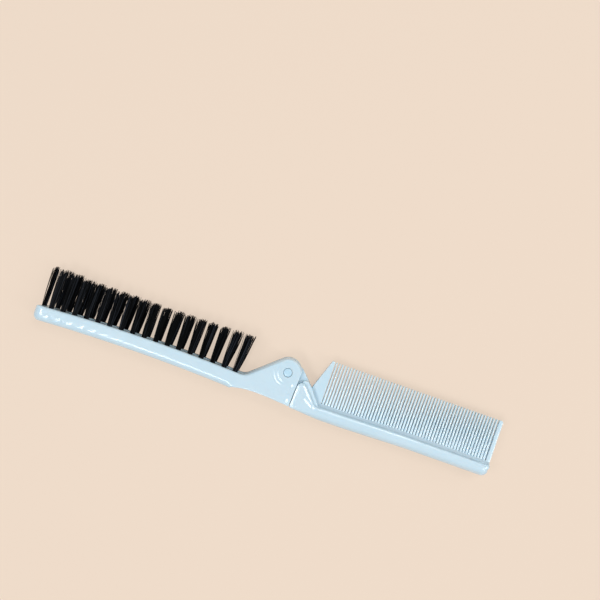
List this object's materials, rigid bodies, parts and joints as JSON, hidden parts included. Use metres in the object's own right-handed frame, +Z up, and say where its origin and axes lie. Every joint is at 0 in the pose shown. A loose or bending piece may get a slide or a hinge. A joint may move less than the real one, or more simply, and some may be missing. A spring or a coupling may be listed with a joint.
{
  "type": "folding pocket brush and comb",
  "caption": "Folding pocket comb whose fine teeth swing on a pin into a slot between two rails of black bristles.",
  "frame": {"origin": "centre of the lowest face of the box of the open part, which lies on its side faces", "axes": "+X along the open length from the brush to the comb, +Y towards the tips of the bristles and teeth, +Z up along the hinge pin"},
  "size_m": [0.1868, 0.0232, 0.0105],
  "materials": {
    "pale_plastic": "smooth moulded, softly glossy",
    "pin_plastic": "smooth moulded, glossy",
    "nylon": "drawn nylon strands",
    "anchor_metal": "cut flat strip"
  },
  "bodies": {
    "brush": {"brush_body": "pale_plastic", "hinge_pin": "pin_plastic", "tuft_anchors": "anchor_metal", "end_tuft": "nylon", "upper_tuft_01": "nylon", "upper_tuft_02": "nylon", "upper_tuft_03": "nylon", "upper_tuft_04": "nylon", "upper_tuft_05": "nylon", "upper_tuft_06": "nylon", "upper_tuft_07": "nylon", "upper_tuft_08": "nylon", "upper_tuft_09": "nylon", "upper_tuft_10": "nylon", "upper_tuft_11": "nylon", "upper_tuft_12": "nylon", "upper_tuft_13": "nylon", "upper_tuft_14": "nylon", "upper_tuft_15": "nylon", "upper_tuft_16": "nylon", "upper_tuft_17": "nylon", "lower_tuft_01": "nylon", "lower_tuft_02": "nylon", "lower_tuft_03": "nylon", "lower_tuft_04": "nylon", "lower_tuft_05": "nylon", "lower_tuft_06": "nylon", "lower_tuft_07": "nylon", "lower_tuft_08": "nylon", "lower_tuft_09": "nylon", "lower_tuft_10": "nylon", "lower_tuft_11": "nylon", "lower_tuft_12": "nylon", "lower_tuft_13": "nylon", "lower_tuft_14": "nylon", "lower_tuft_15": "nylon", "lower_tuft_16": "nylon", "lower_tuft_17": "nylon"},
    "comb": {"comb_body": "pale_plastic"}
  },
  "joints": [
    {"name": "comb_fold", "type": "hinge", "parent": "brush", "child": "comb", "pos_m": [0.00735, 0.00195, 0.00525], "axis": [0, 0, 1], "range_deg": [0, 180]}
  ]
}
